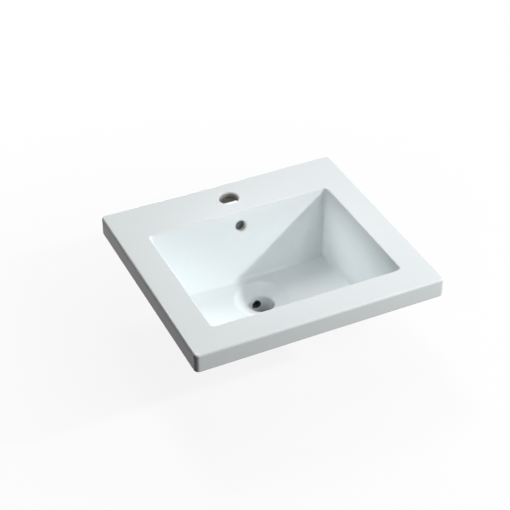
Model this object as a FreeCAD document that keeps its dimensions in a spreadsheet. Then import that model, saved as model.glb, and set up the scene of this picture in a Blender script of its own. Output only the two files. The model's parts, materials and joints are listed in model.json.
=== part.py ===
import FreeCAD, Part
import math
import os
import re
import Sketcher

# Ceramic inset washbasin with its overflow channel, rim seal and four worktop clamps.
# Millimetres. Origin: middle of the slab on the worktop's surface. +X right, +Y to the wall, +Z up.

SIZES = {
    # slab
    "slab_width": 466,
    "slab_depth": 426,
    "edge_height": 36,
    "slab_corner_radius": 8,
    "top_edge_radius": 4,
    "bottom_edge_radius": 3,
    "deck_thickness": 13,
    "skirt_thickness": 13,
    "hollow_corner_radius": 8,
    "hollow_blend_radius": 6,
    # rim seal
    "seal_thickness": 2,
    "seal_width": 7,
    "seal_setback": 4,
    "seal_corner_radius": 2,
    # bowl
    "side_rim": 55,
    "front_rim": 56,
    "back_rim": 94,
    "opening_corner_radius": 8,
    "opening_edge_radius": 2.5,
    "bowl_depth": 134,
    "side_inset": 13,
    "back_inset": 28,
    "front_inset": 78,
    "foot_corner_radius": 11,
    "floor_blend_radius": 9,
    "floor_fall": 2,
    "wall_thickness": 11,
    "floor_thickness": 13,
    "underside_blend_radius": 18,
    # outlet
    "drain_from_back": 188,
    "dish_radius": 51,
    "dish_drop": 11,
    "dish_edge_radius": 12,
    "outlet_radius": 23,
    "outlet_edge_radius": 6,
    "throat_length": 44,
    "boss_radius": 37,
    "boss_shoulder_radius": 66,
    "boss_shoulder_drop": 16,
    "boss_edge_radius": 3,
    # tap hole
    "tap_hole_radius": 18,
    "tap_hole_from_back": 47,
    "tap_edge_radius": 3,
    # overflow
    "overflow_radius": 10.5,
    "overflow_depth": 29.5,
    "overflow_edge_radius": 2.5,
    "duct_width": 44,
    "duct_gap": 10,
    "channel_wall": 6,
    "channel_edge_radius": 4,
    "port_radius": 9,
    "port_below_lip": 19,
    "port_floor_margin": 2,
    "channel_elbow": 24,
    # fixing lugs, plugs and studs
    "stud_from_side": 34,
    "stud_spread": 220,
    "lug_radius": 14,
    "lug_length": 18,
    "plug_radius": 5,
    "plug_length": 14,
    "plug_tip_gap": 1,
    "plug_flange_radius": 8,
    "plug_flange_thickness": 2,
    "stud_radius": 3,
    "stud_length": 65,
    "stud_engagement": 12,
    "stud_chamfer": 0.8,
    # clamps
    "clamp_drop": 20,
    "hub_radius": 7,
    "hub_height": 14,
    "slide_clearance": 0.3,
    "blade_thickness": 5.5,
    "blade_width": 13,
    "blade_reach": 24,
    "gusset_thickness": 3,
    "gusset_reach": 7.5,
    "gusset_rise": 6,
    "pad_radius": 5.5,
    "pad_height": 4,
    "pad_edge_radius": 1,
    "pad_stem_radius": 3,
    "washer_radius": 8,
    "washer_thickness": 1.6,
    "thread_clearance": 0.08,
    "nut_radius": 5.5,
    "nut_height": 7,
    "nut_taper": 1,
    "wing_span": 27,
    "wing_height": 9,
    "wing_thickness": 3,
    "wing_rise": 3,
    "wing_tip_radius": 3.5,
    # one overrun for every cut
    "overrun": 5,
}

# levels and places that several pieces share, worked out from the sizes above
DERIVED = {
    "deck_top": "seal_thickness + edge_height",
    "deck_underside": "deck_top - deck_thickness",
    "floor_foot": "deck_top - bowl_depth",
    "bowl_underside": "floor_foot - floor_thickness",
    "dish_edge": "floor_foot - floor_fall",
    "outlet_lip": "dish_edge - dish_drop",
    "boss_end": "outlet_lip - throat_length",
    "opening_half": "slab_width / 2 - side_rim",
    "opening_front": "slab_depth / 2 - front_rim",
    "opening_back": "slab_depth / 2 - back_rim",
    "drain_y": "slab_depth / 2 - drain_from_back",
    "tap_y": "slab_depth / 2 - tap_hole_from_back",
    "back_slope": "back_inset / bowl_depth",
    "port_level": "outlet_lip - port_below_lip",
    "channel_floor": "port_level - port_radius - port_floor_margin",
    "channel_end": "channel_floor - channel_wall",
    "elbow_level": "channel_end + channel_elbow",
    "stud_x": "slab_width / 2 - stud_from_side",
    "stud_y": "stud_spread / 2",
    "lug_end": "deck_underside - lug_length",
    "plug_top": "lug_end + plug_length",
    "stud_top": "lug_end + stud_engagement",
    "stud_end": "stud_top - stud_length",
    "hub_end": "-clamp_drop - hub_height",
    "blade_top": "hub_end + blade_thickness",
    "nut_top": "hub_end - washer_thickness",
    "nut_end": "nut_top - nut_height",
}

TINY = 1e-4
WORD = re.compile(r"[a-z]+(?:_[a-z]+)+|overrun")

doc = FreeCAD.newDocument("washbasin")
sheet = doc.addObject("Spreadsheet::Sheet", "sizes")
derived = doc.addObject("App::VarSet", "derived")


def tied(formula):
    # the formula with each word written as a reference to its cell or derived value
    def reference(word):
        return f"sizes.{word[0]}" if word[0] in SIZES else f"derived.{word[0]}"

    return WORD.sub(reference, str(formula))


def number(formula):
    # the formula's present value
    def value(word):
        return repr(sheet.get(word[0]) if word[0] in SIZES else getattr(derived, word[0]))

    return FreeCAD.Units.Quantity(WORD.sub(value, str(formula))).Value


def bind(item, **formulas):
    # ties properties to formulas, with a double underscore for each dot in a property's path
    for name, formula in formulas.items():
        item.setExpression(name.replace("__", "."), tied(formula))
    return item


def fill_sheet():
    for row, (alias, size) in enumerate(SIZES.items(), start=1):
        sheet.set(f"A{row}", alias)
        sheet.set(f"B{row}", str(size))
        sheet.setAlias(f"B{row}", alias)
    doc.recompute()
    for name, formula in DERIVED.items():
        derived.addProperty("App::PropertyFloat", name)
        bind(derived, **{name: formula})
    doc.recompute()


def new_body(name):
    return doc.addObject("PartDesign::Body", name)


def attach(sketch, body, role, level):
    plane = next(f for f in body.Origin.OriginFeatures if f.Role == role)
    sketch.AttachmentSupport = [(plane, "")]
    sketch.MapMode = "FlatFace"
    bind(sketch, AttachmentOffset__Base__z=level)


def hold(sketch, kind, first, second, formula):
    # a distance between two sketch points, tied to the sheet
    place = sketch.addConstraint(Sketcher.Constraint(kind, *first, *second, number(formula)))
    sketch.setExpression(f"Constraints[{place}]", tied(formula))


def pin(sketch, line, formula_x, formula_y):
    # the start of a line, held from the sketch's origin
    axes = (("DistanceX", formula_x, -2), ("DistanceY", formula_y, -1))
    for kind, formula, axis in axes:
        size = number(formula)
        if abs(size) < TINY:
            sketch.addConstraint(Sketcher.Constraint("PointOnObject", line, 1, axis))
        elif size > 0:
            hold(sketch, kind, (-1, 1), (line, 1), formula)
        else:
            hold(sketch, kind, (line, 1), (-1, 1), f"-({formula})")


def outline(body, name, role, level, points):
    # a closed outline of straight lines through points given as formulas
    sketch = body.newObject("Sketcher::SketchObject", name)
    attach(sketch, body, role, level)
    spots = [FreeCAD.Vector(number(x), number(y), 0) for x, y in points]
    count = len(spots)
    for i in range(count):
        sketch.addGeometry(Part.LineSegment(spots[i], spots[(i + 1) % count]))
    for i in range(count):
        sketch.addConstraint(Sketcher.Constraint("Coincident", i, 2, (i + 1) % count, 1))
    for i, (x, y) in enumerate(points):
        pin(sketch, i, x, y)
    return sketch


def rounded_rectangle(body, name, level, half, front, back, radius):
    # lines at even places, corner arcs at odd ones, anticlockwise from the front edge
    sketch = body.newObject("Sketcher::SketchObject", name)
    attach(sketch, body, "XY_Plane", level)
    right, near, far, r = (number(size) for size in (half, front, back, radius))
    west, east, south, north = r - right, right - r, r - near, far - r
    starts = [(west, -near), (right, south), (east, far), (-right, north)]
    ends = [(east, -near), (right, north), (west, far), (-right, south)]
    centres = [(east, south), (east, north), (west, north), (west, south)]
    up, turn = FreeCAD.Vector(0, 0, 1), math.radians(90)
    for side, (start, end, centre) in enumerate(zip(starts, ends, centres)):
        sketch.addGeometry(Part.LineSegment(FreeCAD.Vector(*start, 0), FreeCAD.Vector(*end, 0)))
        circle = Part.Circle(FreeCAD.Vector(*centre, 0), up, r)
        sketch.addGeometry(Part.ArcOfCircle(circle, (side - 1) * turn, side * turn))
    for edge in range(8):
        sketch.addConstraint(Sketcher.Constraint("Tangent", edge, 2, (edge + 1) % 8, 1))
    for line, way in zip((0, 2, 4, 6), ("Horizontal", "Vertical", "Horizontal", "Vertical")):
        sketch.addConstraint(Sketcher.Constraint(way, line))
    for arc in (3, 5, 7):
        sketch.addConstraint(Sketcher.Constraint("Equal", 1, arc))
    hold(sketch, "DistanceY", (0, 1), (-1, 1), front)
    hold(sketch, "DistanceX", (-1, 1), (2, 1), half)
    hold(sketch, "DistanceY", (-1, 1), (4, 1), back)
    hold(sketch, "DistanceX", (6, 1), (-1, 1), half)
    place = sketch.addConstraint(Sketcher.Constraint("Radius", 1, r))
    sketch.setExpression(f"Constraints[{place}]", tied(radius))
    return sketch


def circle_sketch(body, name, level, x, y, radius):
    sketch = body.newObject("Sketcher::SketchObject", name)
    attach(sketch, body, "XY_Plane", level)
    centre = FreeCAD.Vector(number(x), number(y), 0)
    sketch.addGeometry(Part.Circle(centre, FreeCAD.Vector(0, 0, 1), number(radius)))
    place = sketch.addConstraint(Sketcher.Constraint("Radius", 0, number(radius)))
    sketch.setExpression(f"Constraints[{place}]", tied(radius))
    for kind, formula, axis in (("DistanceX", x, -2), ("DistanceY", y, -1)):
        size = number(formula)
        if abs(size) < TINY:
            sketch.addConstraint(Sketcher.Constraint("PointOnObject", 0, 3, axis))
        elif size > 0:
            hold(sketch, kind, (-1, 1), (0, 3), formula)
        else:
            hold(sketch, kind, (0, 3), (-1, 1), f"-({formula})")
    return sketch


def pad(body, sketch, name, length, **switches):
    feature = body.newObject("PartDesign::Pad", name)
    feature.Profile = sketch
    for switch, state in switches.items():
        setattr(feature, switch, state)
    return bind(feature, Length=length)


def pocket(body, sketch, name, length, **switches):
    feature = body.newObject("PartDesign::Pocket", name)
    feature.Profile = sketch
    for switch, state in switches.items():
        setattr(feature, switch, state)
    return bind(feature, Length=length)


def loft(body, name, first, last):
    feature = body.newObject("PartDesign::AdditiveLoft", name)
    feature.Profile = first
    feature.Sections = [last]
    feature.Ruled = True
    return feature


def turned(body, sketch, name):
    feature = body.newObject("PartDesign::Revolution", name)
    feature.Profile = sketch
    feature.ReferenceAxis = (sketch, ["V_Axis"])
    feature.Angle = 360
    return feature


def rounded(body, base, name, edges, radius):
    doc.recompute()
    picked = [f"Edge{i}" for i, e in enumerate(base.Shape.Edges, start=1) if edges(e)]
    feature = body.newObject("PartDesign::Fillet", name)
    feature.Base = (base, picked)
    return bind(feature, Radius=radius)


def combined(kind, name, base, tool):
    item = doc.addObject(kind, name)
    item.Base = base
    item.Tool = tool
    doc.recompute()
    return item


def blended(name, base, choices):
    # rounds the picked edges of a finished solid, each group with its own radius
    item = doc.addObject("Part::Fillet", name)
    item.Base = base
    picked = []
    for edges, radius in choices:
        size = number(radius)
        picked += [(i, size, size) for i, e in enumerate(base.Shape.Edges, start=1) if edges(e)]
    item.Edges = picked
    doc.recompute()
    return item


def level_edge(level):
    z = number(level)
    return lambda edge: abs(edge.BoundBox.ZMin - z) < TINY and abs(edge.BoundBox.ZMax - z) < TINY


def round_edge(level, radius):
    flat, size = level_edge(level), number(radius)

    def chosen(edge):
        return flat(edge) and isinstance(edge.Curve, Part.Circle) and abs(edge.Curve.Radius - size) < TINY

    return chosen


def slab_form():
    # the flat deck with its skirt, hollow underneath
    body = new_body("slab_form")
    half, depth = "slab_width / 2", "slab_depth / 2"
    plan = rounded_rectangle(body, "slab_plan", "seal_thickness", half, depth, depth, "slab_corner_radius")
    slab = pad(body, plan, "slab_pad", "edge_height")
    top = rounded(body, slab, "top_round", level_edge("deck_top"), "top_edge_radius")
    rounded(body, top, "base_round", level_edge("seal_thickness"), "bottom_edge_radius")
    inner_half, inner_depth = "slab_width / 2 - skirt_thickness", "slab_depth / 2 - skirt_thickness"
    hollow = rounded_rectangle(
        body, "hollow_plan", "seal_thickness", inner_half, inner_depth, inner_depth, "hollow_corner_radius"
    )
    cut = pocket(body, hollow, "under_hollow", "edge_height - deck_thickness", Reversed=True)
    rounded(body, cut, "hollow_round", level_edge("deck_underside"), "hollow_blend_radius")
    return body


def bowl_walls(name, level, foot, grow):
    # four drafted walls between the opening and the foot of the bowl, grown outwards by a thickness
    body = new_body(name)
    depth = f"(deck_top - ({foot})) / bowl_depth"
    rise = f"(({level}) - deck_top) / bowl_depth"
    top = rounded_rectangle(
        body,
        f"{name}_top",
        level,
        f"opening_half + {rise} * side_inset + {grow}",
        f"opening_front + {rise} * front_inset + {grow}",
        f"opening_back + {rise} * back_inset + {grow}",
        f"opening_corner_radius + {grow}",
    )
    bottom = rounded_rectangle(
        body,
        f"{name}_foot",
        foot,
        f"opening_half - {depth} * side_inset + {grow}",
        f"opening_front - {depth} * front_inset + {grow}",
        f"opening_back - {depth} * back_inset + {grow}",
        f"foot_corner_radius + {grow}",
    )
    return body, loft(body, f"{name}_walls", top, bottom)


def bowl_outside():
    # the bowl's outer form with its rounded underside and the outlet boss
    top = "deck_top - deck_thickness / 2"
    body, walls = bowl_walls("bowl_outside", top, "bowl_underside", "wall_thickness")
    rounded(body, walls, "underside_round", level_edge("bowl_underside"), "underside_blend_radius")
    boss = new_body("outlet_boss")
    points = [
        ("0", "floor_foot"),
        ("boss_shoulder_radius", "floor_foot"),
        ("boss_shoulder_radius", "bowl_underside"),
        ("boss_radius", "bowl_underside - boss_shoulder_drop"),
        ("boss_radius", "boss_end"),
        ("0", "boss_end"),
    ]
    profile = outline(boss, "boss_profile", "XZ_Plane", "-drain_y", points)
    turning = turned(boss, profile, "boss_turning")
    rounded(boss, turning, "boss_round", level_edge("boss_end"), "boss_edge_radius")
    return combined("Part::Fuse", "bowl_form", body, boss)


def bowl_hollow():
    # the bowl's inside: drafted walls above a floor that falls to the outlet dish
    body = bowl_walls("bowl_inside", "deck_top + overrun", "outlet_lip - overrun", "0")[0]
    floor = new_body("floor_inside")
    reach = "((slab_width + slab_depth) / 2)"
    fall_share = "(floor_fall / (opening_half - side_inset - dish_radius))"
    points = [
        ("0", "deck_top + overrun"),
        (reach, "deck_top + overrun"),
        (reach, f"dish_edge + {fall_share} * ({reach} - dish_radius)"),
        ("dish_radius", "dish_edge"),
        ("outlet_radius", "outlet_lip"),
        ("0", "outlet_lip"),
    ]
    profile = outline(floor, "floor_profile", "XZ_Plane", "-drain_y", points)
    turning = turned(floor, profile, "floor_turning")
    rounded(floor, turning, "dish_round", round_edge("dish_edge", "dish_radius"), "dish_edge_radius")
    rough = combined("Part::Common", "bowl_rough", body, floor)
    cone = max((f for f in rough.Shape.Faces if isinstance(f.Surface, Part.Cone)), key=lambda f: f.Area)
    rim = [e for e in cone.Edges if not isinstance(e.Curve, Part.Circle)]
    return blended("bowl_hollow", rough, [(lambda e: any(e.isSame(r) for r in rim), "floor_blend_radius")])


def cylinder(name, x, y, low, high, radius):
    # an upright cylinder between two levels
    item = doc.addObject("Part::Cylinder", name)
    bind(item, Radius=radius, Height=f"({high}) - ({low})")
    return bind(item, Placement__Base__x=x, Placement__Base__y=y, Placement__Base__z=low)


def corners():
    # the four stud places: a name, and the signs of X and Y
    for depth_name, depth_sign in (("front", "-"), ("back", "")):
        for side_name, side_sign in (("left", "-"), ("right", "")):
            yield f"{depth_name}_{side_name}", f"{side_sign}stud_x", f"{depth_sign}stud_y"


def group(kind, name, items):
    item = doc.addObject(kind, name)
    setattr(item, "Shapes" if kind == "Part::MultiFuse" else "Links", items)
    doc.recompute()
    return item


def overflow_bore():
    # square to the back wall, from inside the bowl into the channel
    item = doc.addObject("Part::Cylinder", "overflow_bore")
    bind(item, Radius="overflow_radius", Height="wall_thickness + 2 * overrun")
    item.Placement.Rotation = FreeCAD.Rotation(FreeCAD.Vector(-1, 0, 0), 90)
    lean = "atan(back_slope)"
    return bind(
        item,
        Placement__Rotation__Angle=f"90 deg + {lean}",
        Placement__Base__y=f"opening_back - back_slope * overflow_depth - overrun * cos({lean})",
        Placement__Base__z=f"deck_top - overflow_depth + overrun * sin({lean})",
    )


def port_bore():
    # from the outlet throat back into the overflow channel
    item = doc.addObject("Part::Cylinder", "port_bore")
    bind(item, Radius="port_radius", Height="boss_radius + overrun")
    item.Placement.Rotation = FreeCAD.Rotation(FreeCAD.Vector(1, 0, 0), -90)
    return bind(item, Placement__Base__y="drain_y", Placement__Base__z="port_level")


def casting_bores():
    # the tap hole, the outlet throat and the blind holes in the lugs
    low, high = "deck_underside - overrun", "deck_top + overrun"
    bores = [cylinder("tap_bore", "0", "tap_y", low, high, "tap_hole_radius")]
    low, high = "boss_end - overrun", "outlet_lip + overrun"
    bores += [cylinder("throat_bore", "0", "drain_y", low, high, "outlet_radius")]
    low, high = "lug_end - overrun", "plug_top + plug_tip_gap"
    bores += [cylinder(f"plug_bore_{name}", x, y, low, high, "plug_radius") for name, x, y in corners()]
    return bores


def casting_lugs():
    top = "deck_top - deck_thickness / 2"
    return [cylinder(f"lug_{name}", x, y, "lug_end", top, "lug_radius") for name, x, y in corners()]


def opening_edges():
    # the loop where the deck turns down into the bowl
    deck, tap = level_edge("deck_top"), round_edge("deck_top", "tap_hole_radius")
    side, front = number("opening_half + side_rim / 2"), number("opening_front + front_rim / 2")
    back = number("opening_back + back_rim / 2")

    def chosen(edge):
        middle = edge.CenterOfMass
        return deck(edge) and not tap(edge) and abs(middle.x) < side and -front < middle.y < back

    return chosen


def overflow_mouth():
    # the edge of the overflow hole on the bowl's side of the back wall
    level, width = number("deck_top - overflow_depth"), number("2 * overflow_radius")
    wall = number("opening_back - back_slope * overflow_depth")
    near = number("overflow_radius / 4")

    def chosen(edge):
        middle, across = edge.CenterOfMass, edge.BoundBox.XLength
        return max(abs(middle.z - level), abs(middle.y - wall), abs(across - width)) < near

    return chosen


def basin_casting(form):
    blank = group("Part::MultiFuse", "casting_blank", [slab_form(), form, *casting_lugs()])
    tools = [bowl_hollow(), overflow_bore(), port_bore(), *casting_bores()]
    rough = combined("Part::Cut", "casting_rough", blank, group("Part::MultiFuse", "casting_cutter", tools))
    choices = [
        (opening_edges(), "opening_edge_radius"),
        (round_edge("deck_top", "tap_hole_radius"), "tap_edge_radius"),
        (round_edge("outlet_lip", "outlet_radius"), "outlet_edge_radius"),
        (overflow_mouth(), "overflow_edge_radius"),
    ]
    return blended("basin_casting", rough, choices)


def channel_outline(body, name, top, gap, floor):
    # an L along the bowl's back wall and under its floor, with a bevelled elbow
    def back_face(level):
        return f"opening_back + wall_thickness + {gap} - back_slope * (deck_top - {level})"

    points = [
        ("drain_y", top),
        (back_face(f"({top})"), top),
        (back_face("elbow_level"), "elbow_level"),
        (f"{back_face('elbow_level')} + {floor} - elbow_level", floor),
        ("drain_y", floor),
    ]
    return outline(body, name, "YZ_Plane", "0", points)


def overflow_channel(form):
    # a trough luted to the casting, open towards it
    body = new_body("channel_trough")
    gap = "duct_gap + channel_wall"
    outside = channel_outline(body, "trough_outline", "deck_underside", gap, "channel_end")
    trough = pad(body, outside, "trough_pad", "duct_width + 2 * channel_wall", Midplane=True)
    side = number("duct_width / 2 + channel_wall")
    front = number("drain_y + boss_radius")

    def outer_edge(edge):
        box = edge.BoundBox
        on_side = box.XLength < TINY and abs(abs(box.XMin) - side) < TINY
        return on_side and box.YMax > front and box.ZLength > TINY

    rounded(body, trough, "trough_round", outer_edge, "channel_edge_radius")
    inside = channel_outline(body, "duct_outline", "deck_underside + overrun", "duct_gap", "channel_floor")
    pocket(body, inside, "duct_cut", "duct_width", Midplane=True)
    return combined("Part::Cut", "overflow_channel", body, form)


def rim_seal():
    # a flat strip under the skirt, set back from its rounded lower edge
    body = new_body("rim_seal")
    half, depth = "slab_width / 2 - seal_setback", "slab_depth / 2 - seal_setback"
    corner = "slab_corner_radius - seal_setback"
    strip = rounded_rectangle(body, "seal_outside", "0", half, depth, depth, corner)
    pad(body, strip, "seal_pad", "seal_thickness")
    half, depth = f"{half} - seal_width", f"{depth} - seal_width"
    opening = rounded_rectangle(body, "seal_inside", "0", half, depth, depth, "seal_corner_radius")
    pocket(body, opening, "seal_cut", "seal_thickness", Reversed=True)
    return body


def turned_piece(name, points):
    # a round piece about its own upright axis
    body = new_body(name)
    turned(body, outline(body, f"{name}_profile", "XZ_Plane", "0", points), f"{name}_turning")
    return body


def ring(inner, outer, low, high):
    return [(inner, high), (outer, high), (outer, low), (inner, low)]


def placed(body, x, y, turn=0):
    bind(body, Placement__Base__x=x, Placement__Base__y=y)
    body.Placement.Rotation = FreeCAD.Rotation(FreeCAD.Vector(0, 0, 1), turn)
    return body


def fixing_insert(name):
    # a plug with a flange under its lug, bored for the stud
    flange_end = "lug_end - plug_flange_thickness"
    points = [
        ("stud_radius", "plug_top"),
        ("plug_radius", "plug_top"),
        ("plug_radius", "lug_end"),
        ("plug_flange_radius", "lug_end"),
        ("plug_flange_radius", flange_end),
        ("stud_radius", flange_end),
    ]
    return turned_piece(name, points)


def fixing_stud(name):
    points = [
        ("0", "stud_top"),
        ("stud_radius", "stud_top"),
        ("stud_radius", "stud_end + stud_chamfer"),
        ("stud_radius - stud_chamfer", "stud_end"),
        ("0", "stud_end"),
    ]
    return turned_piece(name, points)


def clamp_arm(name):
    # a cast arm: a hub that slides and swings on the stud, and a ribbed blade towards the pad
    body = new_body(name)
    hub = circle_sketch(body, f"{name}_hub", "hub_end", "0", "0", "hub_radius")
    pad(body, hub, f"{name}_hub_pad", "hub_height")
    half = "blade_width / 2"
    points = [(f"-{half}", "0"), (half, "0"), (half, "blade_reach"), (f"-{half}", "blade_reach")]
    blade = outline(body, f"{name}_blade", "XY_Plane", "hub_end", points)
    pad(body, blade, f"{name}_blade_pad", "blade_thickness")
    tip = circle_sketch(body, f"{name}_tip", "hub_end", "0", "blade_reach", half)
    pad(body, tip, f"{name}_tip_pad", "blade_thickness")
    foot = "(blade_top - blade_thickness / 2)"
    points = [
        ("hub_radius / 2", foot),
        ("hub_radius + gusset_reach", foot),
        ("hub_radius + gusset_reach", "blade_top"),
        ("hub_radius", "blade_top + gusset_rise"),
        ("hub_radius / 2", "blade_top + gusset_rise"),
    ]
    gusset = outline(body, f"{name}_gusset", "YZ_Plane", "0", points)
    pad(body, gusset, f"{name}_gusset_pad", "gusset_thickness", Midplane=True)
    bore = circle_sketch(body, f"{name}_bore", "hub_end", "0", "0", "stud_radius + slide_clearance")
    pocket(body, bore, f"{name}_bore_cut", "hub_height", Reversed=True)
    stem = circle_sketch(body, f"{name}_stem", "hub_end", "0", "blade_reach", "pad_stem_radius")
    pocket(body, stem, f"{name}_stem_cut", "blade_thickness", Reversed=True)
    return body


def clamp_pad(name):
    # a rubber button whose stem fills the hole in the blade
    body = new_body(name)
    head = circle_sketch(body, f"{name}_head", "blade_top", "0", "blade_reach", "pad_radius")
    button = pad(body, head, f"{name}_head_pad", "pad_height")
    rounded(body, button, f"{name}_round", level_edge("blade_top + pad_height"), "pad_edge_radius")
    stem = circle_sketch(body, f"{name}_stem", "hub_end", "0", "blade_reach", "pad_stem_radius")
    pad(body, stem, f"{name}_stem_pad", "blade_thickness")
    return body


def clamp_washer(name):
    return turned_piece(name, ring("stud_radius + slide_clearance", "washer_radius", "nut_top", "hub_end"))


def wing_nut(name):
    bore = "stud_radius + thread_clearance"
    body = new_body(name)
    points = [
        (bore, "nut_top"),
        ("nut_radius", "nut_top"),
        ("nut_radius - nut_taper", "nut_end"),
        (bore, "nut_end"),
    ]
    turned(body, outline(body, f"{name}_profile", "XZ_Plane", "0", points), f"{name}_turning")
    root = "(stud_radius + nut_radius - nut_taper) / 2"
    points = [
        (root, "nut_top - wing_rise / 2"),
        ("wing_span / 2", "nut_top - wing_rise"),
        ("wing_span / 2", "nut_top - wing_rise - wing_height"),
        (root, "nut_end"),
    ]
    profile = outline(body, f"{name}_wing", "XZ_Plane", "0", points)
    wing = pad(body, profile, f"{name}_wing_pad", "wing_thickness", Midplane=True)
    doc.recompute()
    other = body.newObject("PartDesign::PolarPattern", f"{name}_wings")
    other.Originals = [wing]
    other.Axis = (next(f for f in body.Origin.OriginFeatures if f.Role == "Z_Axis"), [""])
    other.Angle = 360
    other.Occurrences = 2
    body.Tip = other
    tip = number("wing_span / 2")

    def tip_edge(edge):
        box = edge.BoundBox
        return box.ZLength < TINY < box.YLength and abs(abs(box.XMin) - tip) < TINY

    rounded(body, other, f"{name}_round", tip_edge, "wing_tip_radius")
    return body


def clamp(name, x, y):
    # the pieces of one clamp, stowed along the side of the bowl with the nut's wings in line
    turn = 0 if name.startswith("front") else 180
    turns = {clamp_arm: turn, clamp_pad: turn, clamp_washer: turn, wing_nut: turn + 90}
    pieces = {}
    for make, angle in turns.items():
        label = f"{make.__name__}_{name}"
        pieces[label] = placed(make(label), x, y, angle)
    return pieces


def build():
    fill_sheet()
    form = bowl_outside()
    pieces = {
        "basin_casting": basin_casting(form),
        "overflow_channel": overflow_channel(form),
        "rim_seal": rim_seal(),
    }
    inserts = [placed(fixing_insert(f"insert_{n}"), x, y) for n, x, y in corners()]
    studs = [placed(fixing_stud(f"stud_{n}"), x, y) for n, x, y in corners()]
    pieces["fixing_inserts"] = group("Part::Compound", "fixing_inserts", inserts)
    pieces["fixing_studs"] = group("Part::Compound", "fixing_studs", studs)
    for name, x, y in corners():
        pieces.update(clamp(name, x, y))
    doc.recompute()
    return pieces


def write(pieces):
    for item in doc.Objects:
        if "Invalid" in item.State or "Error" in item.State:
            raise RuntimeError(f"{item.Name}: {item.State}")
    os.makedirs("parts", exist_ok=True)
    for label, piece in pieces.items():
        if piece.Shape.isNull() or not piece.Shape.isValid():
            raise RuntimeError(f"{label} has no valid shape")
        piece.Label = label
        piece.Shape.exportStep(f"parts/{label}.step")
        print(label, round(piece.Shape.Volume), "mm3,", len(piece.Shape.Solids), "solid(s)")


write(build())
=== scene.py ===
import json
import math

import bmesh
import bpy
from mathutils import Matrix, Vector


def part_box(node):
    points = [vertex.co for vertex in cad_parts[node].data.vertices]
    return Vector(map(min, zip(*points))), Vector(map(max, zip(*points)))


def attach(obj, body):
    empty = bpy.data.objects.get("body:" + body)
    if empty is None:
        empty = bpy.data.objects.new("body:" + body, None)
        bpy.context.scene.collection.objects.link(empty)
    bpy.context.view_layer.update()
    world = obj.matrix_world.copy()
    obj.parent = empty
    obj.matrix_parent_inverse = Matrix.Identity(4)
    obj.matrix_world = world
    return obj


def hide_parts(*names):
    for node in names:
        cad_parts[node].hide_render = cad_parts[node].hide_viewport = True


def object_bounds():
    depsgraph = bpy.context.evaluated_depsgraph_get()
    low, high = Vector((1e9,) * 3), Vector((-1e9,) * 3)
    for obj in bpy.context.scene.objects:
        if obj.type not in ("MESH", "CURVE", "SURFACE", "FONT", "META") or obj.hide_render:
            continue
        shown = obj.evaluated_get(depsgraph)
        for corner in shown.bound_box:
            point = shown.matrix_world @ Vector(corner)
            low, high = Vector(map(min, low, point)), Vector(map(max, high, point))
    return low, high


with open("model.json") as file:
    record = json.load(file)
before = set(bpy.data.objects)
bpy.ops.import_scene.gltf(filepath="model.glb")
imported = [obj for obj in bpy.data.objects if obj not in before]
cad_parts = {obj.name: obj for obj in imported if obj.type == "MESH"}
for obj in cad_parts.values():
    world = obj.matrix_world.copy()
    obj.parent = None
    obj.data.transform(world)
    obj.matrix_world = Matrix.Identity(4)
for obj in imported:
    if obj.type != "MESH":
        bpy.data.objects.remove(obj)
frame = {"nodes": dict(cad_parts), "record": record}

cadLow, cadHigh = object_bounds()
mm = 0.001
tiny = 0.001 * mm
tau = 2 * math.pi
quarter = tau / 4
cornerNames = ["front_left", "front_right", "back_left", "back_right"]
print("frame loaded:", len(frame["nodes"]), "nodes")


# shared mesh helpers

def addObject(name, data):
    piece = bpy.data.objects.new(name, data)
    bpy.context.scene.collection.objects.link(piece)
    return piece


def meshFrom(name, points, faces):
    mesh = bpy.data.meshes.new(name)
    mesh.from_pydata([tuple(p) for p in points], [], faces)
    mesh.update()
    return mesh


def baked(piece):  # modifiers become a plain mesh
    bpy.context.view_layer.update()
    graph = bpy.context.evaluated_depsgraph_get()
    mesh = bpy.data.meshes.new_from_object(piece.evaluated_get(graph), depsgraph=graph)
    mesh.name = piece.name
    piece.modifiers.clear()
    piece.data = mesh
    return piece


def smoothed(mesh):
    mesh.polygons.foreach_set("use_smooth", [True] * len(mesh.polygons))


def shadeBySlope(mesh, degrees):  # smooth, but split where the surface breaks
    smoothed(mesh)
    mesh.set_sharp_from_angle(angle=math.radians(degrees))


def evenNormals(piece):  # wide flats keep their own normal up to the start of a round
    even = piece.modifiers.new("evenNormals", "WEIGHTED_NORMAL")
    even.keep_sharp = True
    return baked(piece)


def facedOut(mesh, merge=True):
    work = bmesh.new()
    work.from_mesh(mesh)
    if merge:
        bmesh.ops.remove_doubles(work, verts=work.verts, dist=tiny)
    bmesh.ops.recalc_face_normals(work, faces=work.faces)
    work.to_mesh(mesh)
    work.free()


def lathe(name, profile, steps, centre=(0, 0, 0)):  # profile runs from axis to axis as (radius, height)
    points, faces, rings = [], [], []
    for radius, height in profile:
        if radius == 0:
            rings.append([len(points)] * steps)
            points.append(Vector((0, 0, height)))
            continue
        rings.append(list(range(len(points), len(points) + steps)))
        for i in range(steps):
            turn = tau * i / steps
            points.append(Vector((radius * math.cos(turn), radius * math.sin(turn), height)))
    for low, high in zip(rings, rings[1:]):
        for i in range(steps):
            j = (i + 1) % steps
            faces.append(list(dict.fromkeys([low[i], low[j], high[j], high[i]])))
    piece = addObject(name, meshFrom(name, [p + Vector(centre) for p in points], faces))
    facedOut(piece.data)
    return piece


def carve(piece, tool, operation):
    cut = piece.modifiers.new(operation.lower(), "BOOLEAN")
    cut.operation = operation
    cut.solver = "EXACT"
    cut.object = tool
    baked(piece)
    bpy.data.objects.remove(tool)


# finishes

def newFinish(name):
    finish = bpy.data.materials.new(name)
    finish.use_nodes = True
    return finish, finish.node_tree.nodes, finish.node_tree.links


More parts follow.
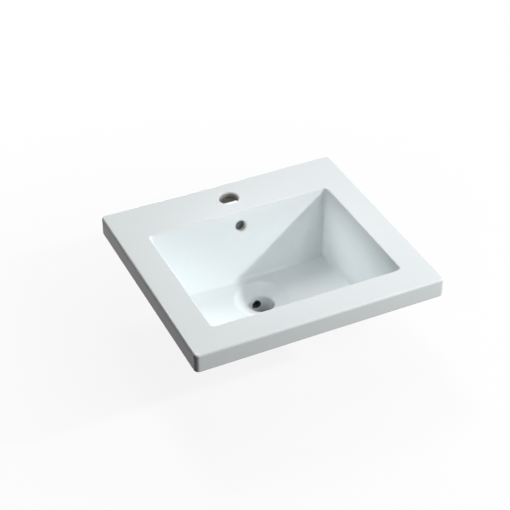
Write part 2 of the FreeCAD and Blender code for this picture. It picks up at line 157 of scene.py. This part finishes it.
def noiseOn(nodes, links, coords, scale, detail=2.0):
    noise = nodes.new("ShaderNodeTexNoise")
    noise.inputs["Scale"].default_value = scale
    noise.inputs["Detail"].default_value = detail
    links.new(coords, noise.inputs["Vector"])
    return noise.outputs["Fac"]


def rangeOf(nodes, links, value, low, high, fromLow=0.3, fromHigh=0.7):  # noise keeps near its middle
    spread = nodes.new("ShaderNodeMapRange")
    spread.inputs["From Min"].default_value = fromLow
    spread.inputs["From Max"].default_value = fromHigh
    spread.inputs["To Min"].default_value = low
    spread.inputs["To Max"].default_value = high
    links.new(value, spread.inputs["Value"])
    return spread.outputs["Result"]


def blendOf(nodes, links, factor, first, second):
    mix = nodes.new("ShaderNodeMix")
    mix.data_type = "RGBA"
    links.new(factor, mix.inputs["Factor"])
    for value, socket in ((first, mix.inputs["A"]), (second, mix.inputs["B"])):
        if isinstance(value, tuple):
            socket.default_value = (*value, 1)
        else:
            links.new(value, socket)
    return mix.outputs["Result"]


def bumpOn(nodes, links, height, strength, depth):
    bump = nodes.new("ShaderNodeBump")
    bump.inputs["Strength"].default_value = strength
    bump.inputs["Distance"].default_value = depth
    links.new(height, bump.inputs["Height"])
    links.new(bump.outputs["Normal"], nodes["Principled BSDF"].inputs["Normal"])


def markOn(nodes, name):  # a mark stored on the piece's mesh
    mark = nodes.new("ShaderNodeAttribute")
    mark.attribute_name = name
    return mark.outputs["Fac"]


glaze = {
    "white": (0.852, 0.902, 0.914),
    "drift": (0.868, 0.912, 0.921),
    "pooled": (0.818, 0.888, 0.894),  # thick glaze in the hollows
    "thinned": (0.864, 0.898, 0.906),  # the body shows through on edges
    "underneath": (0.80, 0.79, 0.765),
    "bisque": (0.75, 0.725, 0.675),
    "paintedBoreShade": (0.13, 0.135, 0.135),  # painted shade: a dark colour standing in for the shadow inside the tap hole's bore and the port
    "paintedShadeStart": 0.3,
    "driftScale": 9,
    "speckScale": 420, "speckDetail": 3.0,
    "peelScale": 160, "peelDetail": 1.0, "peelStrength": 0.03, "peelDepth": 1 * mm,
    "polish": (0.06, 0.11),
    "rawAdds": (0.3, 0.5),  # roughness that the raw underside adds
    "shine": 0.12,
}


def glazeFinish():
    finish, nodes, links = newFinish("whiteGlaze")
    shader = nodes["Principled BSDF"]
    coords = nodes.new("ShaderNodeTexCoord").outputs["Object"]
    drift = noiseOn(nodes, links, coords, glaze["driftScale"])
    speck = noiseOn(nodes, links, coords, glaze["speckScale"], glaze["speckDetail"])
    colour = blendOf(nodes, links, drift, glaze["white"], glaze["drift"])
    raw = blendOf(nodes, links, speck, glaze["underneath"], glaze["bisque"])
    # the last layer is painted shade inside the bores
    layers = {"pool": glaze["pooled"], "thin": glaze["thinned"], "under": raw, "paintedBoreShade": glaze["paintedBoreShade"]}
    for mark, layer in layers.items():
        colour = blendOf(nodes, links, markOn(nodes, mark), colour, layer)
    links.new(colour, shader.inputs["Base Color"])
    dry = nodes.new("ShaderNodeMath")
    dry.operation = "MULTIPLY_ADD"
    links.new(markOn(nodes, "under"), dry.inputs[0])
    links.new(rangeOf(nodes, links, speck, *glaze["rawAdds"]), dry.inputs[1])
    links.new(rangeOf(nodes, links, drift, *glaze["polish"]), dry.inputs[2])
    links.new(dry.outputs["Value"], shader.inputs["Roughness"])
    peel = noiseOn(nodes, links, coords, glaze["peelScale"], glaze["peelDetail"])
    bumpOn(nodes, links, peel, glaze["peelStrength"], glaze["peelDepth"])
    shader.inputs["Specular IOR Level"].default_value = glaze["shine"]
    return finish


grain = {"perPatch": 8, "detail": 4.0, "strength": 0.4}
looks = {
    "seal_rubber": {
        "name": "sealRubber", "dark": (0.030, 0.031, 0.033), "light": (0.045, 0.046, 0.048),
        "roughness": (0.62, 0.85), "metallic": 0, "scale": 1800, "depth": 0.08 * mm,
    },
    "plug_nylon": {
        "name": "plugNylon", "dark": (0.60, 0.61, 0.58), "light": (0.66, 0.66, 0.63),
        "roughness": (0.38, 0.55), "metallic": 0, "scale": 1200, "depth": 0.02 * mm,
    },
    "plated_steel": {
        "name": "platedSteel", "dark": (0.52, 0.53, 0.55), "light": (0.63, 0.62, 0.60),
        "roughness": (0.26, 0.42), "metallic": 1, "scale": 2200, "depth": 0.02 * mm,
    },
    "cast_zinc": {
        "name": "castZinc", "dark": (0.40, 0.41, 0.42), "light": (0.50, 0.50, 0.50),
        "roughness": (0.42, 0.62), "metallic": 1, "scale": 1600, "depth": 0.06 * mm,
    },
}


def grainFinish(look):
    finish, nodes, links = newFinish(look["name"])
    shader = nodes["Principled BSDF"]
    coords = nodes.new("ShaderNodeTexCoord").outputs["Object"]
    patch = noiseOn(nodes, links, coords, look["scale"] / grain["perPatch"])
    fine = noiseOn(nodes, links, coords, look["scale"], grain["detail"])
    links.new(blendOf(nodes, links, patch, look["dark"], look["light"]), shader.inputs["Base Color"])
    links.new(rangeOf(nodes, links, fine, *look["roughness"]), shader.inputs["Roughness"])
    shader.inputs["Metallic"].default_value = look["metallic"]
    bumpOn(nodes, links, fine, grain["strength"], look["depth"])
    return finish


finishes = {"vitreous_china": glazeFinish()}
for slotName, look in looks.items():
    finishes[slotName] = grainFinish(look)
print("finishes made:", len(finishes))


# the china: one closed wall, swept round the bowl as a section with rounded corners

china = {
    "sideRim": 55 * mm, "frontRim": 56 * mm, "backRim": 94 * mm,
    "edgeHeight": 36 * mm, "deckThickness": 13 * mm, "skirtThickness": 13 * mm,
    "slabCorner": 8 * mm, "hollowCorner": 8 * mm, "openingCorner": 8 * mm, "footCorner": 11 * mm,
    "bowlDepth": 134 * mm, "sideInset": 13 * mm, "backInset": 28 * mm, "frontInset": 78 * mm,
    "wall": 11 * mm, "floor": 13 * mm, "floorFall": 2 * mm,
    "drainFromBack": 188 * mm, "dishRadius": 51 * mm, "dishDrop": 11 * mm, "outletRadius": 23 * mm,
    "bossRadius": 37 * mm, "shoulderRadius": 66 * mm, "shoulderDrop": 16 * mm, "shoulderRoom": 20 * mm,
    "topRound": 4 * mm, "baseRound": 3 * mm, "openingRound": 2.5 * mm, "footRound": 9 * mm,
    "dishRound": 12 * mm, "lipRound": 6 * mm, "undersideRound": 18 * mm, "hollowRound": 6 * mm,
    "bossRound": 3 * mm, "softRound": 1.5 * mm, "shoulderRound": 10 * mm,
    "tightCorner": 4 * mm, "deckLoop": 10 * mm,
    "sideSteps": 28, "cornerSteps": 12, "settleSteps": 4,
    "fullest": 0.98,  # share of a side that its two rounds may take up
    "tapRadius": 18 * mm, "tapFromBack": 47 * mm, "tapRound": 3 * mm,
    "overflowRadius": 10.5 * mm, "overflowDepth": 29.5 * mm, "overflowRound": 2.5 * mm,
    "portRadius": 9 * mm, "portBelowLip": 19 * mm,
    "lugRadius": 14 * mm, "lugLength": 18 * mm, "plugRadius": 5 * mm, "plugDepth": 15 * mm,
    "overrun": 5 * mm, "nearBore": 0.1 * mm, "boreSteps": 64, "fineSteps": 32,
    "flareSteps": 6, "flareTurn": 84, "crease": 32,
}


def roundedOutline(half, front, back, radius):  # the same count of points for every size
    points = []
    middles = [(half - radius, radius - front), (half - radius, back - radius),
               (radius - half, back - radius), (radius - half, radius - front)]
    for corner, (x, y) in enumerate(middles):
        for step in range(china["cornerSteps"] + 1):
            turn = quarter * (corner - 1 + step / china["cornerSteps"])
            points.append(Vector((x + radius * math.cos(turn), y + radius * math.sin(turn), 0)))
        nextX, nextY = middles[(corner + 1) % 4]
        turn = quarter * corner
        reach = Vector((radius * math.cos(turn), radius * math.sin(turn), 0))
        start, end = Vector((x, y, 0)) + reach, Vector((nextX, nextY, 0)) + reach
        for step in range(1, china["sideSteps"]):
            points.append(start.lerp(end, step / china["sideSteps"]))
    return points


def roundedPath(corners):  # closed path, with the corner and swell of each of its points
    count = len(corners)
    sides = [corners[(k + 1) % count][1] - corners[k][1] for k in range(count)]
    halves = [sides[k].angle(-sides[k - 1]) / 2 for k in range(count)]
    runs = [corners[k][2] / math.tan(halves[k]) for k in range(count)]
    for k in range(count):  # neighbouring rounds share the side between them
        nextK = (k + 1) % count
        share = min(1, china["fullest"] * sides[k].length / max(runs[k] + runs[nextK], tiny))
        runs[k] *= share
        runs[nextK] *= share
    path, marks = [], []
    for k, (name, point, radius, steps) in enumerate(corners):
        if radius == 0:
            path.append(point)
            marks.append((name, 1))
            continue
        back, on = -sides[k - 1].normalized(), sides[k].normalized()
        middle = point + (back + on).normalized() * (runs[k] / math.cos(halves[k]))
        armA, armB = point + back * runs[k] - middle, point + on * runs[k] - middle
        sweep = armA.angle(armB)
        for step in range(steps + 1):
            share = step / steps
            arm = armA * math.sin((1 - share) * sweep) + armB * math.sin(share * sweep)
            path.append(middle + arm / math.sin(sweep))
            marks.append((name, math.sin(math.pi * share)))
    return path, marks


def chinaLevels():
    low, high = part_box("basin_casting")
    c = china
    level = {"top": high.z, "halfWidth": high.x, "halfDepth": high.y, "bossEnd": low.z}
    level["base"] = level["top"] - c["edgeHeight"]
    level["ceiling"] = level["top"] - c["deckThickness"]
    level["foot"] = level["top"] - c["bowlDepth"]
    level["underside"] = level["foot"] - c["floor"]
    level["dishEdge"] = level["foot"] - c["floorFall"]
    level["lip"] = level["dishEdge"] - c["dishDrop"]
    level["drainY"] = level["halfDepth"] - c["drainFromBack"]
    level["openHalf"] = level["halfWidth"] - c["sideRim"]
    level["openFront"] = level["halfDepth"] - c["frontRim"]
    level["openBack"] = level["halfDepth"] - c["backRim"]
    return level


def bowlOutline(level, depth, grow):
    share = depth / china["bowlDepth"]
    corner = china["openingCorner"] + (china["footCorner"] - china["openingCorner"]) * min(share, 1)
    return roundedOutline(
        level["openHalf"] - share * china["sideInset"] + grow,
        level["openFront"] - share * china["frontInset"] + grow,
        level["openBack"] - share * china["backInset"] + grow,
        max(corner + grow, china["tightCorner"]),
    )


def chinaSections(level):
    c = china
    drain = Vector((0, level["drainY"], 0))
    fall = c["floorFall"] / (level["openHalf"] - c["sideInset"] - c["dishRadius"])

    def floorAt(point):
        reach = (Vector((point.x, point.y, 0)) - drain).length
        return level["dishEdge"] + fall * (reach - c["dishRadius"])

    def at(point, z):
        return Vector((point.x, point.y, z))

    def slabRing(inset, corner):
        half, depth = level["halfWidth"] - inset, level["halfDepth"] - inset
        return roundedOutline(half, depth, depth, corner)

    opening = bowlOutline(level, 0, 0)
    foot = bowlOutline(level, c["bowlDepth"], 0)
    deckRing = bowlOutline(level, 0, c["deckLoop"])
    slab = slabRing(0, c["slabCorner"])
    slabLoop = slabRing(c["topRound"] + c["deckLoop"] / 2, c["tightCorner"])
    skirt = slabRing(c["skirtThickness"], c["hollowCorner"])
    outerTop = bowlOutline(level, c["deckThickness"], c["wall"])
    outerFoot = bowlOutline(level, level["top"] - level["underside"], c["wall"])
    neck = level["underside"] - c["shoulderDrop"]
    sections = []
    for i in range(len(opening)):
        depth = c["bowlDepth"]
        for _ in range(c["settleSteps"]):  # where the wall's line meets the falling floor
            corner = opening[i].lerp(foot[i], depth / c["bowlDepth"])
            depth = level["top"] - floorAt(corner)
        ray = (corner - drain).normalized()
        shoulder = min(c["shoulderRadius"], (outerFoot[i] - drain).length - c["shoulderRoom"])
        sections.append([  # name, point, radius of its round, steps of its round
            ("throat", at(drain + ray * c["outletRadius"], level["bossEnd"]), c["softRound"], 2),
            ("lip", at(drain + ray * c["outletRadius"], level["lip"]), c["lipRound"], 6),
            ("dish", at(drain + ray * c["dishRadius"], level["dishEdge"]), c["dishRound"], 6),
            ("foot", at(corner, floorAt(corner)), c["footRound"], 12),
            ("opening", at(opening[i], level["top"]), c["openingRound"], 7),
            ("deck", at(deckRing[i], level["top"]), 0, 0),
            ("deckEdge", at(slabLoop[i], level["top"]), 0, 0),
            ("topEdge", at(slab[i], level["top"]), c["topRound"], 8),
            ("baseEdge", at(slab[i], level["base"]), c["baseRound"], 5),
            ("skirtEdge", at(skirt[i], level["base"]), c["softRound"], 3),
            ("skirtRoot", at(skirt[i], level["ceiling"]), c["hollowRound"], 5),
            ("wallRoot", at(outerTop[i], level["ceiling"]), c["hollowRound"], 5),
            ("underside", at(outerFoot[i], level["underside"]), c["undersideRound"], 10),
            ("shoulder", at(drain + ray * shoulder, level["underside"]), c["shoulderRound"], 4),
            ("neck", at(drain + ray * c["bossRadius"], neck), c["shoulderRound"], 4),
            ("bossEnd", at(drain + ray * c["bossRadius"], level["bossEnd"]), c["bossRound"], 4),
        ])
    return sections


chinaMarks = {  # how strongly each rounded corner of the section carries each mark
    "pool": {"dish": 0.35, "foot": 0.35, "skirtRoot": 0.6, "wallRoot": 0.6},
    "thin": {"lip": 0.8, "opening": 1.0, "topEdge": 0.8, "baseEdge": 0.8},
    "under": dict.fromkeys(
        ("skirtEdge", "skirtRoot", "wallRoot", "underside", "shoulder", "neck", "bossEnd"), 1.0
    ),
}


def chinaBlank(level):
    sections = chinaSections(level)
    points, faces = [], []
    for corners in sections:
        path, marks = roundedPath(corners)
        points += path
    count, size = len(sections), len(marks)
    for i in range(count):
        a, b = i * size, (i + 1) % count * size
        for j in range(size):
            k = (j + 1) % size
            faces.append((a + j, b + j, b + k, a + k))
    mesh = meshFrom("basin", points, faces)
    for name, shares in chinaMarks.items():
        layer = mesh.attributes.new(name, "FLOAT", "POINT")
        row = [shares.get(corner, 0) * (1 if name == "under" else swell) for corner, swell in marks]
        layer.data.foreach_set("value", row * count)
    facedOut(mesh, merge=False)
    return addObject("basin", mesh)


def flare(radius, lip, near, far):  # half section of a bore whose near end opens into a rounded lip
    steps, lastTurn = china["flareSteps"], math.radians(china["flareTurn"])
    profile = [(0, far), (radius, far)]
    for step in range(steps + 1):
        turn = lastTurn * step / steps
        profile.append((radius + lip * (1 - math.cos(turn)), near - lip + lip * math.sin(turn)))
    slope = Vector((math.sin(lastTurn), math.cos(lastTurn)))
    last = Vector(profile[-1]) + slope * lip
    beyond = near + china["overrun"]
    return profile + [tuple(last), (last.x, beyond), (0, beyond)]


def rod(radius, start, end):  # half section of a plain bore
    return [(0, start), (radius, start), (radius, end), (0, end)]


def openTapHole(piece, level):
    c = china
    profile = flare(c["tapRadius"], c["tapRound"], level["top"], level["ceiling"] - c["overrun"])
    place = (0, level["halfDepth"] - c["tapFromBack"], 0)
    carve(piece, lathe("tapCutter", profile, c["boreSteps"], place), "DIFFERENCE")


def openOverflow(piece, level):  # square to the leaning back wall
    c = china
    lean = math.atan(c["backInset"] / c["bowlDepth"])
    profile = flare(c["overflowRadius"], c["overflowRound"], 0, -c["wall"] - c["overrun"])
    cutter = lathe("overflowCutter", profile, c["boreSteps"])
    y = level["openBack"] - math.tan(lean) * c["overflowDepth"]
    mouth = Vector((0, y, level["top"] - c["overflowDepth"]))
    cutter.data.transform(Matrix.Translation(mouth) @ Matrix.Rotation(quarter - lean, 4, "X"))
    carve(piece, cutter, "DIFFERENCE")


def openPort(piece, level):  # where the channel returns into the throat
    c = china
    profile = rod(c["portRadius"], 0, c["bossRadius"] + c["overrun"])
    cutter = lathe("portCutter", profile, c["fineSteps"])
    place = Vector((0, level["drainY"], level["lip"] - c["portBelowLip"]))
    cutter.data.transform(Matrix.Translation(place) @ Matrix.Rotation(-quarter, 4, "X"))
    carve(piece, cutter, "DIFFERENCE")


def paintBoreShade(mesh, level):  # painted shade: the tap hole's bore is painted darker towards its bottom, and the port dark all through
    c = china
    tap = Vector((0, level["halfDepth"] - c["tapFromBack"]))
    port = Vector((0, level["lip"] - c["portBelowLip"]))
    start = level["top"] - c["tapRound"]

    def inBore(spot, middle, radius):
        return abs((Vector(spot) - middle).length - radius) < c["nearBore"]

    layer = mesh.attributes.new("paintedBoreShade", "FLOAT", "CORNER")
    for face in mesh.polygons:
        spots = [mesh.vertices[i].co for i in face.vertices]
        if all(inBore((p.x, p.y), tap, c["tapRadius"]) and p.z < start + c["nearBore"] for p in spots):
            for i, p in zip(face.loop_indices, spots):
                # painted shade grows darker with depth down the bore
                share = (start - p.z) / (start - level["ceiling"])
                layer.data[i].value = glaze["paintedShadeStart"] + (1 - glaze["paintedShadeStart"]) * share
        elif all(inBore((p.x, p.z), port, c["portRadius"]) for p in spots):
            for i in face.loop_indices:
                layer.data[i].value = 1


def addLugs(piece, level, spots):
    c = china
    end = level["ceiling"] - c["lugLength"]
    top = level["ceiling"] + c["deckThickness"] / 2
    wide, soft = c["lugRadius"], c["softRound"]
    lug = [(0, end), (wide - soft, end), (wide, end + soft), (wide, top), (0, top)]
    hole = rod(c["plugRadius"], end - c["overrun"], end + c["plugDepth"])
    for spot in spots:
        place = (spot.x, spot.y, 0)
        carve(piece, lathe("lug", lug, c["fineSteps"], place), "UNION")
        carve(piece, lathe("plugCutter", hole, c["fineSteps"], place), "DIFFERENCE")


def makeBasin(spots):
    level = chinaLevels()
    piece = chinaBlank(level)
    openTapHole(piece, level)
    openOverflow(piece, level)
    openPort(piece, level)
    addLugs(piece, level, spots)
    piece.data.materials.clear()
    piece.data.materials.append(finishes["vitreous_china"])
    # paints shade into the tap hole and the port
    paintBoreShade(piece.data, level)
    shadeBySlope(piece.data, china["crease"])
    evenNormals(piece)
    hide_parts("basin_casting")
    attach(piece, "basin")
    print("basin:", len(piece.data.vertices), "points")


studSpots = []
for cornerName in cornerNames:
    low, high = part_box(f"clamp_washer_{cornerName}")
    studSpots.append((low + high) / 2)
makeBasin(studSpots)


# CAD nodes that keep their form, with broken edges

slotOf = {part["node"]: part["material_slot"] for part in frame["record"]["subparts"]}
bodyOf = {node: body for body, nodes in frame["record"]["behaviour"]["bodies"].items() for node in nodes}

channelGlazed = 5.4 * mm  # a little less than its wall
edges = {  # width of the broken edge
    "overflow_channel": 1.6 * mm, "rim_seal": 0.5 * mm, "fixing_inserts": 0.4 * mm,
    "clamp_arm": 0.6 * mm, "clamp_pad": 0.35 * mm, "clamp_washer": 0.25 * mm, "wing_nut": 0.45 * mm,
}
breaking = {"merge": 0.002 * mm, "flat": 0.5, "segments": 2, "crease": 38}


def bareOutside(mesh):  # the channel is glazed inside only
    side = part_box("overflow_channel")[1].x
    layer = mesh.attributes.new("under", "FLOAT", "CORNER")
    for face in mesh.polygons:
        widest = max(abs(mesh.vertices[i].co.x) for i in face.vertices)
        for i in face.loop_indices:
            layer.data[i].value = 1 if widest > side - channelGlazed else 0


def softened(node, width):
    piece = addObject("soft_" + node, frame["nodes"][node].data.copy())
    mesh = piece.data
    work = bmesh.new()
    work.from_mesh(mesh)
    bmesh.ops.remove_doubles(work, verts=work.verts, dist=breaking["merge"])
    flat = math.radians(breaking["flat"])
    bmesh.ops.dissolve_limit(work, angle_limit=flat, verts=work.verts, edges=work.edges)
    work.to_mesh(mesh)
    work.free()
    mesh.materials.clear()
    mesh.materials.append(finishes[slotOf[node]])
    smoothed(mesh)
    bevel = piece.modifiers.new("brokenEdge", "BEVEL")
    bevel.width = width
    bevel.segments = breaking["segments"]
    bevel.limit_method = "ANGLE"
    bevel.angle_limit = math.radians(breaking["crease"])
    baked(piece)
    if node == "overflow_channel":
        bareOutside(piece.data)
    shadeBySlope(piece.data, breaking["crease"])
    evenNormals(piece)
    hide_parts(node)
    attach(piece, bodyOf[node])


for node in frame["nodes"]:
    kind = next((k for k in edges if node.startswith(k)), None)
    if kind:
        softened(node, edges[kind])
print("fittings softened")


# threaded studs, one rule for all four

stud = {"root": 2.45 * mm, "pitch": 1 * mm, "tip": 2.1 * mm, "sides": 24, "stepsPerTurn": 6}


def socketIds(tree):
    sockets = [s for s in tree.interface.items_tree if s.item_type == "SOCKET" and s.in_out == "INPUT"]
    return {s.name: s.identifier for s in sockets}


def threadTree():
    tree = bpy.data.node_groups.new("threadedStuds", "GeometryNodeTree")
    tree.interface.new_socket("Geometry", in_out="INPUT", socket_type="NodeSocketGeometry")
    for name in ("Crest", "Root", "Pitch", "Length", "Tip"):
        tree.interface.new_socket(name, in_out="INPUT", socket_type="NodeSocketFloat")
    for name in ("Sides", "Rows"):
        tree.interface.new_socket(name, in_out="INPUT", socket_type="NodeSocketInt")
    tree.interface.new_socket("Finish", in_out="INPUT", socket_type="NodeSocketMaterial")
    tree.interface.new_socket("Geometry", in_out="OUTPUT", socket_type="NodeSocketGeometry")
    nodes, links = tree.nodes, tree.links
    given = nodes.new("NodeGroupInput").outputs

    def maths(operation, first, second=None):
        node = nodes.new("ShaderNodeMath")
        node.operation = operation
        for value, socket in zip((first, second), node.inputs):
            if isinstance(value, (int, float)):
                socket.default_value = value
            elif value is not None:
                links.new(value, socket)
        return node.outputs[0]

    shank = nodes.new("GeometryNodeMeshCylinder")
    sources = {"Vertices": "Sides", "Side Segments": "Rows", "Radius": "Crest", "Depth": "Length"}
    for name, source in sources.items():
        links.new(given[source], shank.inputs[name])
    spot = nodes.new("ShaderNodeSeparateXYZ")
    links.new(nodes.new("GeometryNodeInputPosition").outputs[0], spot.inputs[0])
    x, y, z = spot.outputs
    angle = maths("ARCTAN2", y, x)
    phase = maths("SUBTRACT", maths("DIVIDE", z, given["Pitch"]), maths("DIVIDE", angle, tau))
    depth = maths("MULTIPLY", maths("SUBTRACT", given["Crest"], given["Root"]), 2)
    radius = maths("ADD", given["Root"], maths("MULTIPLY", maths("PINGPONG", phase, 0.5), depth))
    fromEnd = maths("ADD", z, maths("DIVIDE", given["Length"], 2))
    radius = maths("MINIMUM", radius, maths("ADD", fromEnd, given["Tip"]))
    place = nodes.new("ShaderNodeCombineXYZ")
    links.new(maths("MULTIPLY", radius, maths("COSINE", angle)), place.inputs[0])
    links.new(maths("MULTIPLY", radius, maths("SINE", angle)), place.inputs[1])
    links.new(z, place.inputs[2])
    shaped = nodes.new("GeometryNodeSetPosition")
    links.new(shank.outputs["Mesh"], shaped.inputs["Geometry"])
    links.new(place.outputs[0], shaped.inputs["Position"])
    spread = nodes.new("GeometryNodeInstanceOnPoints")
    links.new(given["Geometry"], spread.inputs["Points"])
    links.new(shaped.outputs[0], spread.inputs["Instance"])
    real = nodes.new("GeometryNodeRealizeInstances")
    links.new(spread.outputs[0], real.inputs[0])
    finish = nodes.new("GeometryNodeSetMaterial")
    links.new(real.outputs[0], finish.inputs["Geometry"])
    links.new(given["Finish"], finish.inputs["Material"])
    links.new(finish.outputs[0], nodes.new("NodeGroupOutput").inputs[0])
    return tree


def makeStuds(spots):
    low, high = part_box("fixing_studs")
    middle, length = (low.z + high.z) / 2, high.z - low.z
    tree = threadTree()
    piece = addObject("studs", meshFrom("studs", [(s.x, s.y, middle) for s in spots], []))
    rule = piece.modifiers.new("threads", "NODES")
    rule.node_group = tree
    ids = socketIds(tree)
    sizes = {
        "Crest": high.x - max(s.x for s in spots), "Root": stud["root"], "Pitch": stud["pitch"],
        "Length": length, "Tip": stud["tip"], "Sides": stud["sides"],
        "Rows": round(length / stud["pitch"] * stud["stepsPerTurn"]),
        "Finish": finishes["plated_steel"],
    }
    for name, value in sizes.items():
        rule[ids[name]] = value
    baked(piece)
    smoothed(piece.data)
    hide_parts("fixing_studs")
    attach(piece, "basin")
    print("studs:", len(piece.data.polygons), "faces")


makeStuds(studSpots)


# stage: pale floor, key from the right, soft fills, and a gridded strip for the bowl's right wall

stage = {
    "floorSize": 40, "floorShade": 0.12, "floorPale": 0.92, "floorRough": 0.9,
    "shadowShare": 0.12, "shadowNear": 0.35, "shadowFar": 0.95,
    "worldLevel": 0.02, "aim": (0, 0, 0.02),
}
lamps = {
    "key": {"azimuth": 60, "elevation": 28.7, "reach": 3.2, "size": 0.16, "power": 60},
    "fill": {"azimuth": 34, "elevation": 40, "reach": 2.0, "size": 0.8, "power": 10.2},
    "back": {"azimuth": 172, "elevation": 53, "reach": 3.0, "size": 1.0, "power": 32},
    "top": {"azimuth": 172, "elevation": 86, "reach": 2.5, "size": 1.0, "power": 5},
    "rear": {"azimuth": 165, "elevation": 8, "reach": 2.0, "size": 0.5, "power": 9},
    "front": {"azimuth": 38, "elevation": 3, "reach": 1.6, "size": 0.2, "power": 2.7},
    "strip": {
        "azimuth": -88, "elevation": 22, "reach": 1.1, "size": 0.3, "height": 0.05, "power": 0.032,
        "spread": 12, "aim": (170 * mm, 12 * mm, -28 * mm),
    },
}
lens = {
    "azimuth": -25.604, "elevation": 37.196, "reach": 2419.2 * mm, "focal": 98.0, "sensor": 36,
    "aim": (-31.1 * mm, -11.8 * mm, 38 * mm),
}


def seenDirectly(nodes, links):  # camera, mirror and see-through rays
    path = nodes.new("ShaderNodeLightPath")
    total = path.outputs["Is Camera Ray"]
    for name in ("Is Glossy Ray", "Is Transmission Ray"):
        both = nodes.new("ShaderNodeMath")
        both.operation = "MAXIMUM"
        links.new(total, both.inputs[0])
        links.new(path.outputs[name], both.inputs[1])
        total = both.outputs[0]
    return total


def makeFloor():
    finish, nodes, links = newFinish("paleFloor")
    matt = nodes["Principled BSDF"]
    matt.inputs["Roughness"].default_value = stage["floorRough"]
    matt.inputs["Specular IOR Level"].default_value = 0
    seen = seenDirectly(nodes, links)
    shade, pale = (stage["floorShade"],) * 3, (stage["floorPale"],) * 3
    links.new(blendOf(nodes, links, seen, shade, pale), matt.inputs["Base Color"])
    glow = nodes.new("ShaderNodeEmission")
    reach = nodes.new("ShaderNodeVectorMath")
    reach.operation = "LENGTH"
    links.new(nodes.new("ShaderNodeTexCoord").outputs["Object"], reach.inputs[0])
    clear = 1 - stage["shadowShare"]  # the shadow fades out into the white round it
    near, far = stage["shadowNear"], stage["shadowFar"]
    fade = rangeOf(nodes, links, reach.outputs["Value"], clear, 1, near, far)
    share = nodes.new("ShaderNodeMath")
    share.operation = "MULTIPLY"
    links.new(seen, share.inputs[0])
    links.new(fade, share.inputs[1])
    mix = nodes.new("ShaderNodeMixShader")
    links.new(share.outputs[0], mix.inputs["Fac"])
    links.new(matt.outputs[0], mix.inputs[1])
    links.new(glow.outputs[0], mix.inputs[2])
    links.new(mix.outputs[0], nodes["Material Output"].inputs["Surface"])
    half, z = stage["floorSize"] / 2, cadLow.z
    corners = [(-half, -half, z), (half, -half, z), (half, half, z), (-half, half, z)]
    mesh = meshFrom("floor", corners, [(0, 1, 2, 3)])
    mesh.materials.append(finish)
    addObject("floor", mesh)


def makeWorld():
    world = bpy.data.worlds.new("studio")
    bpy.context.scene.world = world
    world.use_nodes = True
    nodes, links = world.node_tree.nodes, world.node_tree.links
    dim, white = (stage["worldLevel"],) * 3, (1, 1, 1)
    sky = blendOf(nodes, links, seenDirectly(nodes, links), dim, white)
    links.new(sky, nodes["Background"].inputs["Color"])


def placedRound(name, data, spot):  # looks at its aim from its azimuth, elevation and reach
    holder = addObject(name, data)
    a, e = math.radians(spot["azimuth"]), math.radians(spot["elevation"])
    back = Vector((math.sin(a) * math.cos(e), -math.cos(a) * math.cos(e), math.sin(e)))
    holder.location = Vector(spot.get("aim", stage["aim"])) + back * spot["reach"]
    holder.rotation_euler = back.to_track_quat("Z", "Y").to_euler()
    return holder


def makeLamps():
    for name, lamp in lamps.items():
        light = bpy.data.lights.new(name, "AREA")
        light.shape = "ELLIPSE"
        light.size = lamp["size"]
        light.size_y = lamp.get("height", lamp["size"])
        light.energy = lamp["power"]
        light.spread = math.radians(lamp.get("spread", 180))
        placedRound(name, light, lamp)


def makeCamera():
    camera = bpy.data.cameras.new("camera")
    camera.lens = lens["focal"]
    camera.sensor_width = lens["sensor"]
    bpy.context.scene.camera = placedRound("camera", camera, lens)


makeFloor()
makeWorld()
makeLamps()
makeCamera()
bpy.context.scene.view_settings.view_transform = "Standard"
print("stage set")
